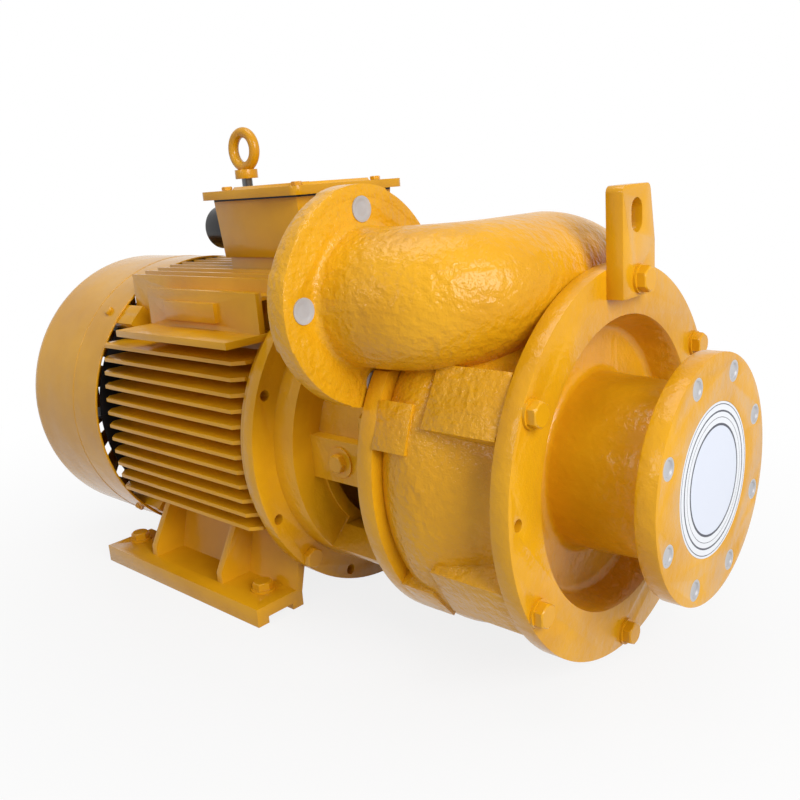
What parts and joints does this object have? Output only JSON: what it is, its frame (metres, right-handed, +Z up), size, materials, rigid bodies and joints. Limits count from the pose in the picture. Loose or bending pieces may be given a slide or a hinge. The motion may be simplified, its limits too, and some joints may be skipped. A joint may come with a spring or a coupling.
{
  "type": "slurry pump",
  "caption": "Close-coupled slurry pump: volute casing with side discharge elbow, flanged suction cover and open lantern, bolted to a finned foot-mounted motor.",
  "frame": {"origin": "centre of the suction flange's sealing face, on the shaft axis", "axes": "+X along the shaft from the suction flange to the motor's fan, +Y towards the side the discharge flange is on, +Z up"},
  "size_m": [0.83, 0.4225, 0.503],
  "materials": {
    "enamel": "glossy amber-yellow enamel over cast iron",
    "enamel_sheet": "glossy amber-yellow enamel over sheet steel",
    "steel": "bare machined steel",
    "stainless": "polished stainless steel",
    "hard_iron": "bare wear-resistant cast iron",
    "laminations": "stacked electrical steel",
    "varnished_copper": "varnished copper windings",
    "cast_aluminium": "cast aluminium",
    "seal_face": "lapped seal ring",
    "rubber": "black rubber",
    "fibre": "pressed fibre sheet",
    "black_plastic": "black moulded plastic",
    "fan_plastic": "dark moulded plastic",
    "moulding": "brown moulding compound"
  },
  "bodies": {
    "casing": {"suction_cover": "enamel", "cover_gasket": "fibre", "volute_casing": "enamel", "cover_bolts": "enamel", "cover_washers": "enamel", "lifting_lug": "enamel", "back_plate": "hard_iron", "seal_gland": "stainless", "seal_seat": "seal_face", "gland_bolts": "steel", "lantern_bracket": "enamel", "ring_bolts": "enamel", "motor_flange_bolts": "enamel", "pad_bolts": "enamel", "pad_washers": "enamel", "motor_frame": "enamel", "drive_shield": "enamel", "drive_bearing_cap": "hard_iron", "fan_shield": "hard_iron", "fan_bearing_cap": "hard_iron", "stator_core": "laminations", "stator_windings": "varnished_copper", "drive_outer_ring": "steel", "fan_outer_ring": "steel", "fan_cowl": "enamel_sheet", "cowl_screws": "enamel", "terminal_box": "enamel", "box_gasket": "rubber", "box_lid": "enamel", "lid_screws": "enamel", "terminal_board": "moulding", "cable_plug": "black_plastic", "eye_bolt": "enamel"},
    "rotor": {"pump_shaft": "steel", "impeller": "hard_iron", "impeller_key": "steel", "impeller_nut": "hard_iron", "shaft_sleeve": "stainless", "seal_head": "seal_face", "seal_collar": "stainless", "shaft_slinger": "rubber", "rotor_core": "laminations", "rotor_end_rings": "cast_aluminium", "cooling_fan": "fan_plastic", "fan_circlip": "steel", "drive_inner_ring": "steel", "fan_inner_ring": "steel"},
    "drive_cage": {"drive_ball_cage": "steel"},
    "fan_cage": {"fan_ball_cage": "steel"}
  },
  "joints": [
    {"name": "rotor_spin", "type": "hinge", "parent": "casing", "child": "rotor", "pos_m": [0.4, 0, 0], "axis": [1, 0, 0], "continuous": true},
    {"name": "drive_cage_spin", "type": "hinge", "parent": "casing", "child": "drive_cage", "pos_m": [0.407, 0, 0], "axis": [1, 0, 0], "continuous": true},
    {"name": "fan_cage_spin", "type": "hinge", "parent": "casing", "child": "fan_cage", "pos_m": [0.634, 0, 0], "axis": [1, 0, 0], "continuous": true}
  ],
  "couplings": [
    {"joint": "drive_cage_spin", "follows": "rotor_spin", "ratio": 0.38571},
    {"joint": "fan_cage_spin", "follows": "rotor_spin", "ratio": 0.38571}
  ]
}
